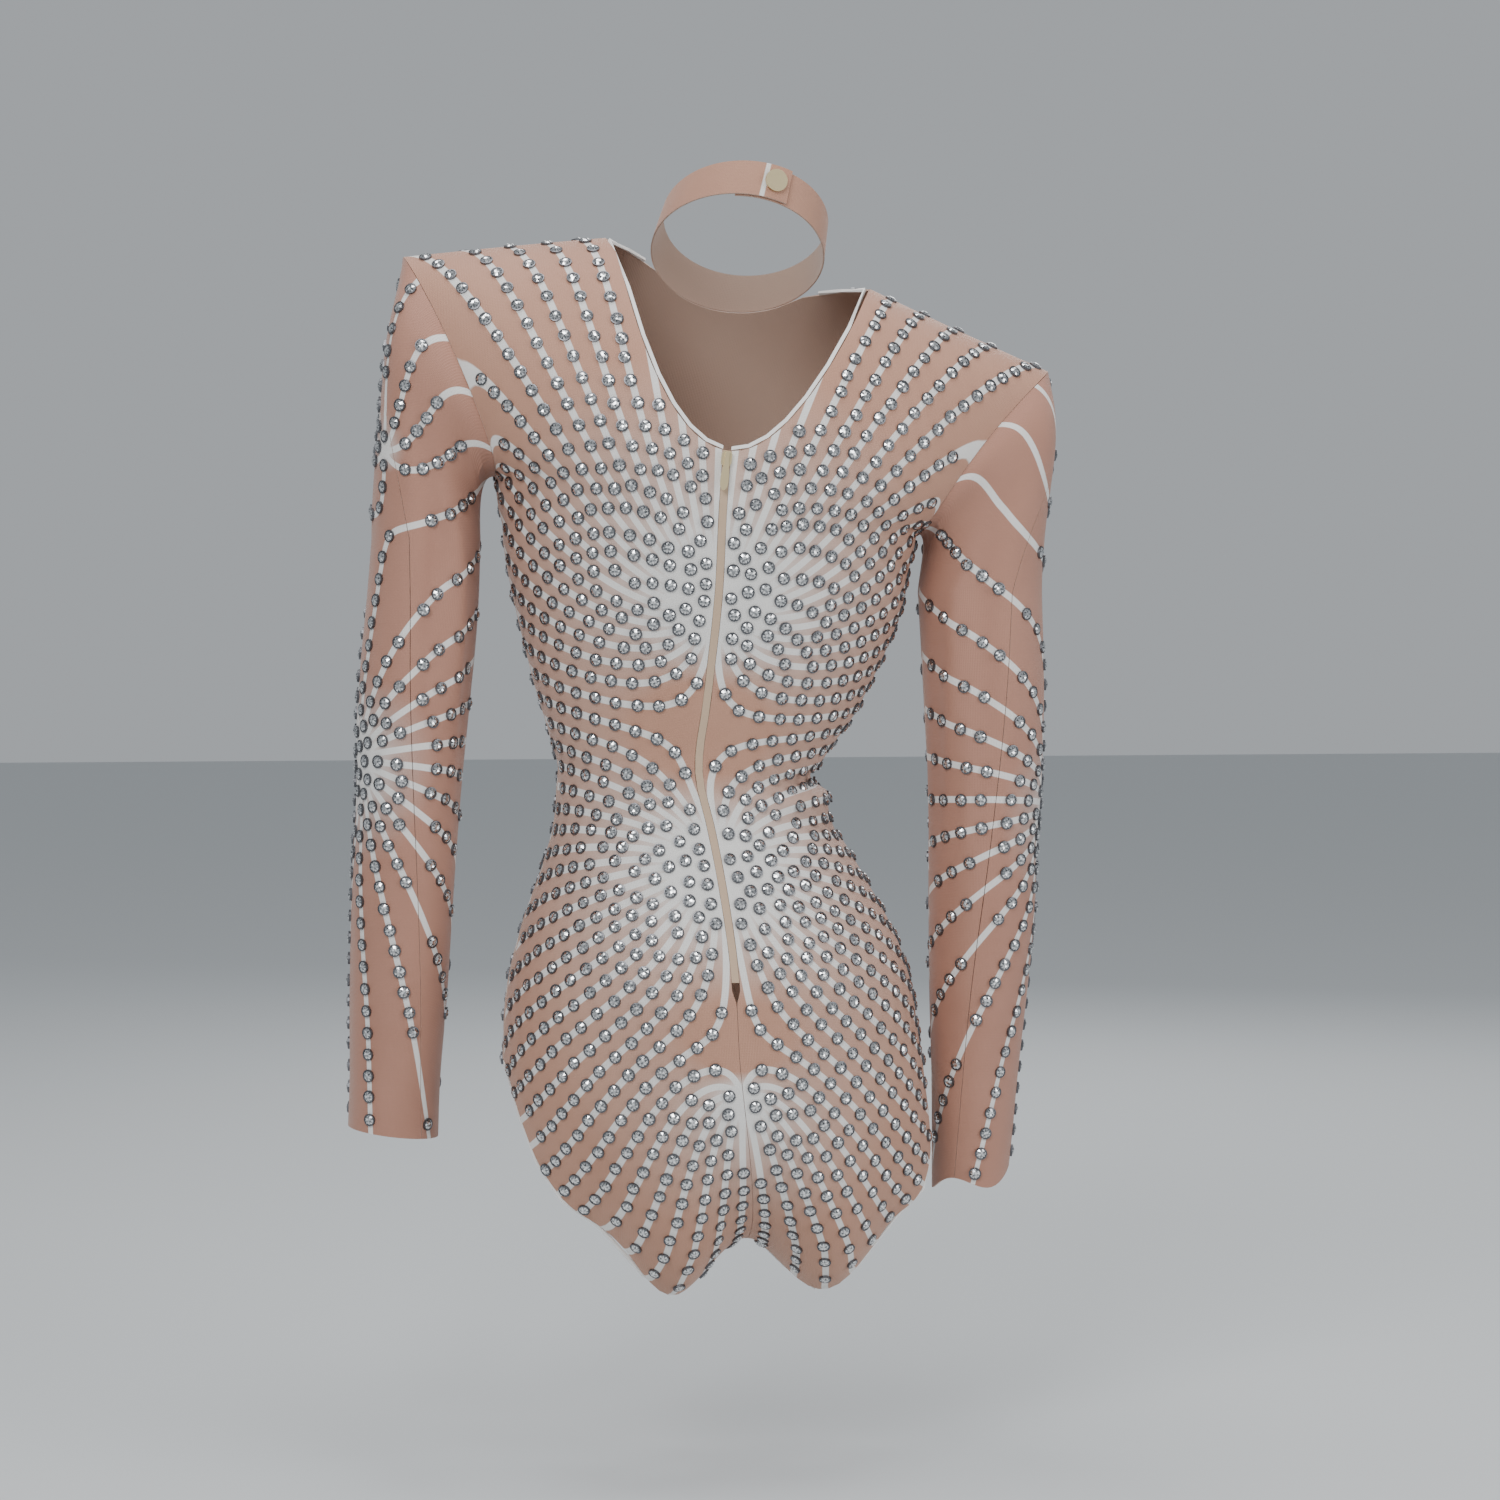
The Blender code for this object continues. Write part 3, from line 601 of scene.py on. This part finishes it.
# Two-piece sleeves
def makeSleeves():
    rows = np.concatenate([np.linspace(0, 1, 56), 1 + np.linspace(0, 1, 110)[1:]])
    for hand, word in ((1, "left"), (-1, "right")):
        seam = np.radians(along(backSeam, "angle", rows))[:, None]
        last = math.pi - seamTurn
        for label, low, high, count in (("under", seam + seamTurn, last + 0 * seam, 26),
                                        ("outer", -last + 0 * seam, seam - seamTurn, 44)):
            share = np.linspace(0, 1, count)[None, :]
            angles = low + (high - low) * share
            row = np.broadcast_to(rows[:, None], angles.shape)
            points, normals = sleeveFrame(hand, angles, row)
            steps = np.linalg.norm(np.diff(points, axis=0), axis=-1)
            v = np.concatenate([np.zeros((1, count)), np.cumsum(steps, axis=0)], axis=0)
            join = np.argmin(np.abs(rows - 1))
            flat = np.stack([hand * angles * 40, v[join:join + 1] - v], axis=-1)
            name = "sleeve_" + word + "_" + label
            piece = clothWall("cloth_" + name, points, normals, flat, sleeveKnit, reverseKnit, clothPlan["thick"])
            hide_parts(name)
            layers["cloth_" + name] = (points, normals, flat)


makeSleeves()
print("sleeves ready")

# Neck strap with its lapped ends
strapPlan = dict(steps=181, lifts=9, lapDegrees=17, rise=2.6)


def makeStrap():
    lap = math.radians(strapPlan["lapDegrees"])
    turns = np.linspace(-lap, 2 * math.pi + lap, strapPlan["steps"])
    outside = np.interp(turns, (-lap, lap * 1.3, 2 * math.pi - lap * 1.3, 2 * math.pi + lap), (2.6, 2.2, 0, 0))
    lifts = np.linspace(-collarHigh / 2, collarHigh / 2, strapPlan["lifts"])[:, None]
    outer = collarFrame(turns[None, :], lifts, outside[None, :])
    inner = collarFrame(turns[None, :], lifts, outside[None, :] - 1.0)
    normals = unit(outer - inner)
    flat = np.stack(np.broadcast_arrays(turns[None, :] * 60, lifts), axis=-1)
    strapKnit = knitMaterial("printed_knit_strap", clothPlan["nude"], clothPlan["nudeShade"], clothPlan["white"],
                             fans["collar"], 1.6)
    piece = clothWall("neck_strap", outer, normals, flat, strapKnit, reverseKnit, clothPlan["thick"])
    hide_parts("collar")
    layers["neck_strap"] = (outer, normals, flat)


def collarFrame(turn, lift, out):
    return pose(*collarFlat(turn, lift, out))


makeStrap()
print("strap ready")

# Stones: a foiled faceted crystal in a silver cup whose dark grey colour is a painted dark reflection, one on every
# step along a printed row
stonePlan = dict(sides=12, cupRadius=4.35, lipRadius=3.55, cupHeight=1.5, crownHeight=2.5, tableRadius=1.75,
                 pitch=13.6, clear=11.2, margin=5.2, sink=0.15, seed=11)


def stoneMaterials():
    crystal, tree, shader = plainMaterial("crystal", (0.85, 0.87, 0.9), 0.12, 1.0)
    # The crystal's base colour is painted light: a per-facet value picks a shade from near black to white, a painted
    # dark reflection or painted highlight fixed on each facet
    tone = tree.nodes.new("ShaderNodeAttribute")
    tone.attribute_name = "tone"
    ramp = tree.nodes.new("ShaderNodeValToRGB")
    ramp.color_ramp.elements[0].color = (0.10, 0.11, 0.12, 1)
    ramp.color_ramp.elements[1].color = (1.0, 1.0, 1.0, 1)
    tree.links.new(tone.outputs["Fac"], ramp.inputs[0])
    tree.links.new(ramp.outputs[0], shader.inputs["Base Color"])
    # The silver cup is coloured dark grey as a painted dark reflection, with a fine random mottle mixed through it
    cup, cupTree, cupShader = plainMaterial("stone_cup", (0.13, 0.135, 0.145), 0.38, 1.0)
    reflection_mottle = cupTree.nodes.new("ShaderNodeTexNoise")
    reflection_mottle.inputs["Scale"].default_value = 900.0
    place = cupTree.nodes.new("ShaderNodeTexCoord")
    cupTree.links.new(place.outputs["Object"], reflection_mottle.inputs["Vector"])
    cupTree.links.new(mixColours(cupTree, reflection_mottle.outputs["Fac"], (0.07, 0.07, 0.08), (0.24, 0.245, 0.26)),
                      cupShader.inputs["Base Color"])
    return crystal, cup


def makeStoneTemplate(crystal, cup):
    plan = stonePlan
    sides = plan["sides"]
    rings = ((plan["cupRadius"], 0.0), (plan["cupRadius"], plan["cupHeight"]), (plan["lipRadius"], plan["cupHeight"] + 0.15),
             (plan["lipRadius"], plan["cupHeight"] - 0.1))
    vertices = []
    for radius, high in rings:
        vertices += [(radius * math.cos(k * 2 * math.pi / sides), radius * math.sin(k * 2 * math.pi / sides), high)
                     for k in range(sides)]
    faces, picks, painted_glints = [], [], []
    for ring in range(3):
        for k in range(sides):
            m = (k + 1) % sides
            faces.append((ring * sides + k, ring * sides + m, (ring + 1) * sides + m, (ring + 1) * sides + k))
            picks.append(1)
            painted_glints.append(0.3)
    faces.append(tuple(range(sides - 1, -1, -1)))
    picks.append(1)
    painted_glints.append(0.3)
    table = len(vertices)
    crowns = sides // 2
    vertices += [(plan["tableRadius"] * math.cos((k + 0.5) * 2 * math.pi / crowns),
                  plan["tableRadius"] * math.sin((k + 0.5) * 2 * math.pi / crowns), plan["crownHeight"])
                 for k in range(crowns)]
    # Per-facet levels of painted highlight and painted dark reflection for the crown and table facets
    painted_glint_levels = (0.95, 0.25, 0.7, 0.12, 0.85, 0.4)
    base = 3 * sides
    for k in range(crowns):
        m = (k + 1) % crowns
        girdle = [base + (2 * k + j) % sides for j in range(3)]
        faces += [(girdle[0], girdle[1], table + k), (girdle[1], girdle[2], table + k),
                  (girdle[2], table + m, table + k)]
        picks += [0, 0, 0]
        painted_glints += [painted_glint_levels[k % 6], painted_glint_levels[(k + 3) % 6], painted_glint_levels[(k + 2) % 6]]
    middle = len(vertices)
    vertices.append((0, 0, plan["crownHeight"] - 0.25))
    for k in range(crowns):
        faces.append((table + k, table + (k + 1) % crowns, middle))
        picks.append(0)
        painted_glints.append((1.0, 0.55, 0.9, 0.3, 1.0, 0.65)[k % 6])
    mesh = bpy.data.meshes.new("stone_form")
    mesh.from_pydata([tuple(c * metre for c in v) for v in vertices], [], faces)
    mesh.materials.append(crystal)
    mesh.materials.append(cup)
    mesh.polygons.foreach_set("material_index", picks)
    mesh.attributes.new("tone", "FLOAT", "FACE").data.foreach_set("value", painted_glints)
    mesh.attributes.new("cup", "FLOAT", "FACE").data.foreach_set("value", [float(p) for p in picks])
    solid = bmesh.new()
    solid.from_mesh(mesh)
    bmesh.ops.recalc_face_normals(solid, faces=solid.faces)
    solid.to_mesh(mesh)
    solid.free()
    form = bpy.data.objects.new("stone_form", mesh)
    bpy.context.scene.collection.objects.link(form)
    return form


def makeScatterTree(form, crystal, cup):
    # Sets one form on every point, standing along the point's own direction
    tree = bpy.data.node_groups.new("setForms", "GeometryNodeTree")
    tree.interface.new_socket("Geometry", in_out="INPUT", socket_type="NodeSocketGeometry")
    tree.interface.new_socket("Form", in_out="INPUT", socket_type="NodeSocketObject")
    size = tree.interface.new_socket("Size", in_out="INPUT", socket_type="NodeSocketFloat")
    size.default_value = 1.0
    tree.interface.new_socket("Geometry", in_out="OUTPUT", socket_type="NodeSocketGeometry")
    nodes, links = tree.nodes, tree.links
    start, end = nodes.new("NodeGroupInput"), nodes.new("NodeGroupOutput")
    info = nodes.new("GeometryNodeObjectInfo")
    links.new(start.outputs["Form"], info.inputs["Object"])
    facing = nodes.new("GeometryNodeInputNamedAttribute")
    facing.data_type = "FLOAT_VECTOR"
    facing.inputs["Name"].default_value = "facing"
    ahead = nodes.new("GeometryNodeInputNamedAttribute")
    ahead.data_type = "FLOAT_VECTOR"
    ahead.inputs["Name"].default_value = "ahead"
    stand = nodes.new("FunctionNodeAlignRotationToVector")
    stand.axis = "Z"
    links.new(facing.outputs["Attribute"], stand.inputs["Vector"])
    turn = nodes.new("FunctionNodeAlignRotationToVector")
    turn.axis = "X"
    turn.pivot_axis = "Z"
    links.new(stand.outputs[0], turn.inputs["Rotation"])
    links.new(ahead.outputs["Attribute"], turn.inputs["Vector"])
    scatter = nodes.new("GeometryNodeInstanceOnPoints")
    links.new(start.outputs["Geometry"], scatter.inputs["Points"])
    links.new(info.outputs["Geometry"], scatter.inputs["Instance"])
    links.new(turn.outputs[0], scatter.inputs["Rotation"])
    grow = nodes.new("GeometryNodeInputNamedAttribute")
    grow.data_type = "FLOAT"
    grow.inputs["Name"].default_value = "grow"
    sized = nodes.new("ShaderNodeMath")
    sized.operation = "MULTIPLY"
    links.new(grow.outputs["Attribute"], sized.inputs[0])
    links.new(start.outputs["Size"], sized.inputs[1])
    links.new(sized.outputs[0], scatter.inputs["Scale"])
    real = nodes.new("GeometryNodeRealizeInstances")
    links.new(scatter.outputs[0], real.inputs[0])
    first = nodes.new("GeometryNodeSetMaterial")
    first.inputs["Material"].default_value = crystal
    links.new(real.outputs[0], first.inputs["Geometry"])
    second = nodes.new("GeometryNodeSetMaterial")
    second.inputs["Material"].default_value = cup
    mark = nodes.new("GeometryNodeInputNamedAttribute")
    mark.data_type = "FLOAT"
    mark.inputs["Name"].default_value = "cup"
    over = nodes.new("FunctionNodeCompare")
    over.data_type = "FLOAT"
    over.operation = "GREATER_THAN"
    over.inputs[1].default_value = 0.5
    links.new(mark.outputs["Attribute"], over.inputs[0])
    links.new(first.outputs[0], second.inputs["Geometry"])
    links.new(over.outputs[0], second.inputs["Selection"])
    links.new(second.outputs[0], end.inputs[0])
    return tree


def scatterForms(name, tree, form, places, facings, aheads, grows, size=1.0):
    mesh = bpy.data.meshes.new(name + "_points")
    mesh.from_pydata([tuple(p * metre) for p in places], [], [])
    mesh.attributes.new("facing", "FLOAT_VECTOR", "POINT").data.foreach_set("vector", np.ravel(facings))
    mesh.attributes.new("ahead", "FLOAT_VECTOR", "POINT").data.foreach_set("vector", np.ravel(aheads))
    mesh.attributes.new("grow", "FLOAT", "POINT").data.foreach_set("value", grows)
    holder = bpy.data.objects.new(name + "_points", mesh)
    bpy.context.scene.collection.objects.link(holder)
    modifier = holder.modifiers.new("set", "NODES")
    modifier.node_group = tree
    sockets = {item.name: item.identifier for item in tree.interface.items_tree if item.in_out == "INPUT"}
    modifier[sockets["Form"]] = form
    modifier[sockets["Size"]] = size
    deps = bpy.context.evaluated_depsgraph_get()
    result = bpy.data.meshes.new_from_object(holder.evaluated_get(deps), depsgraph=deps)
    result.name = name
    made = bpy.data.objects.new(name, result)
    bpy.context.scene.collection.objects.link(made)
    bpy.data.objects.remove(holder, do_unlink=True)
    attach(made, "garment")
    return made


class FlatLay:
    # Finds the cloth's place and facing for a point of its flat lay
    def __init__(self, points, normals, flat):
        rows, columns = flat.shape[:2]
        self.faces = [(r * columns + c, r * columns + c + 1, (r + 1) * columns + c + 1, (r + 1) * columns + c)
                      for r in range(rows - 1) for c in range(columns - 1)]
        self.flat = flat.reshape(-1, 2)
        self.points = points.reshape(-1, 3)
        self.normals = normals.reshape(-1, 3)
        corners = [(u, v, 0.0) for u, v in self.flat]
        self.tree = BVHTree.FromPolygons(corners, self.faces)

    def find(self, u, v):
        hit = self.tree.ray_cast(Vector((u, v, 5)), Vector((0, 0, -1)))
        if hit[2] is None:
            return None
        face = self.faces[hit[2]]
        gaps = [math.hypot(self.flat[i][0] - u, self.flat[i][1] - v) for i in face]
        weights = np.array([1 / (g + 1e-3) ** 2 for g in gaps])
        weights = weights / weights.sum()
        at = weights @ self.points[list(face)]
        facing = weights @ self.normals[list(face)]
        return at, facing / np.linalg.norm(facing)

    def inside(self, u, v, margin):
        for k in range(8):
            turn = k * math.pi / 4
            hit = self.tree.ray_cast(Vector((u + margin * math.cos(turn), v + margin * math.sin(turn), 5)),
                                     Vector((0, 0, -1)))
            if hit[2] is None:
                return False
        return True


def rowSlope(fan, u, v):
    across = sum(rays * (v - up) / ((u - mid) ** 2 + (v - up) ** 2 + 1e-3) for rays, mid, up in fan)
    upward = sum(rays * (u - mid) / ((u - mid) ** 2 + (v - up) ** 2 + 1e-3) for rays, mid, up in fan)
    return upward, across


def traceRows(lay, fan, pitch, clear, margin, box):
    # Walks outwards along every row from every centre, and keeps the steps that have room for a stone
    places = []
    cells = {}

    def roomy(u, v):
        i, j = int(u // clear), int(v // clear)
        for a in (i - 1, i, i + 1):
            for b in (j - 1, j, j + 1):
                for pu, pv in cells.get((a, b), ()):
                    if (pu - u) ** 2 + (pv - v) ** 2 < clear ** 2:
                        return False
        return True

    walks = []
    for number, (rays, mid, up) in enumerate(fan):
        turns = np.linspace(0, 2 * math.pi, 1441)
        radius = 4.0
        count = rays * turns / (2 * math.pi)
        for other, (rays2, mid2, up2) in enumerate(fan):
            if other != number:
                angle = np.arctan2(up + radius * np.sin(turns) - up2, mid + radius * np.cos(turns) - mid2)
                count = count + rays2 * np.unwrap(angle) / (2 * math.pi)
        for whole in range(math.ceil(count[0]), math.floor(count[-1]) + 1):
            turn = np.interp(whole, count, turns)
            walks.append([mid + radius * math.cos(turn), up + radius * math.sin(turn), pitch * 0.6, number])
    step = 1.5
    alive = list(walks)
    longest = 520
    for travelled in range(int(longest / step)):
        still = []
        for walk in alive:
            u, v = walk[0], walk[1]
            a, b = rowSlope(fan, u, v)
            size = math.hypot(a, b) + 1e-9
            ua, vb = a / size, b / size
            mu, mv = u + ua * step / 2, v + vb * step / 2
            a, b = rowSlope(fan, mu, mv)
            size = math.hypot(a, b) + 1e-9
            walk[0], walk[1] = u + a / size * step, v + b / size * step
            if not (box[0] < walk[0] < box[1] and box[2] < walk[1] < box[3]):
                continue
            walk[2] += step
            if walk[2] >= pitch:
                found = roomy(walk[0], walk[1])
                if found and lay.inside(walk[0], walk[1], margin):
                    places.append((walk[0], walk[1], a / size, b / size))
                    cells.setdefault((int(walk[0] // clear), int(walk[1] // clear)), []).append((walk[0], walk[1]))
                    walk[2] = 0.0
                elif found:
                    walk[2] = 0.0
                else:
                    walk[2] = pitch - 2 * step
            still.append(walk)
        alive = still
    return places


crystalMaterial, cupMaterial = stoneMaterials()
stoneForm = makeStoneTemplate(crystalMaterial, cupMaterial)
stoneTree = makeScatterTree(stoneForm, crystalMaterial, cupMaterial)
chance = np.random.default_rng(stonePlan["seed"])


def setStones(name, layer, fan):
    points, normals, flat = layers[layer]
    lay = FlatLay(points, normals, flat)
    box = (flat[..., 0].min() - 15, flat[..., 0].max() + 15, flat[..., 1].min() - 5, flat[..., 1].max() + 5)
    spots = traceRows(lay, fan, stonePlan["pitch"], stonePlan["clear"], stonePlan["margin"], box)
    places, facings, aheads = [], [], []
    for u, v, a, b in spots:
        found = lay.find(u, v)
        beside = lay.find(u + a, v + b)
        if found is None or beside is None:
            continue
        at, facing = found
        places.append(at - stonePlan["sink"] * facing)
        facings.append(facing)
        aheads.append(unit(beside[0] - at + 1e-9))
    grows = chance.uniform(0.96, 1.04, len(places))
    turns = chance.uniform(0, 2 * math.pi, len(places))
    aheads = [h * math.cos(t) + np.cross(f, h) * math.sin(t) for h, f, t in zip(aheads, facings, turns)]
    made = scatterForms(name, stoneTree, stoneForm, places, facings, aheads, grows)
    print(name, len(places), "stones")
    return made


for layer in list(layers):
    kind = "front" if "front" in layer else "back" if "back" in layer else "sleeve" if "sleeve" in layer else "collar"
    if kind == "collar":
        continue
    setStones("stones_" + layer.replace("panel_", "").replace("cloth_", ""), layer, fans[kind])
bpy.data.objects.remove(stoneForm, do_unlink=True)
print("stones ready")

print("done")
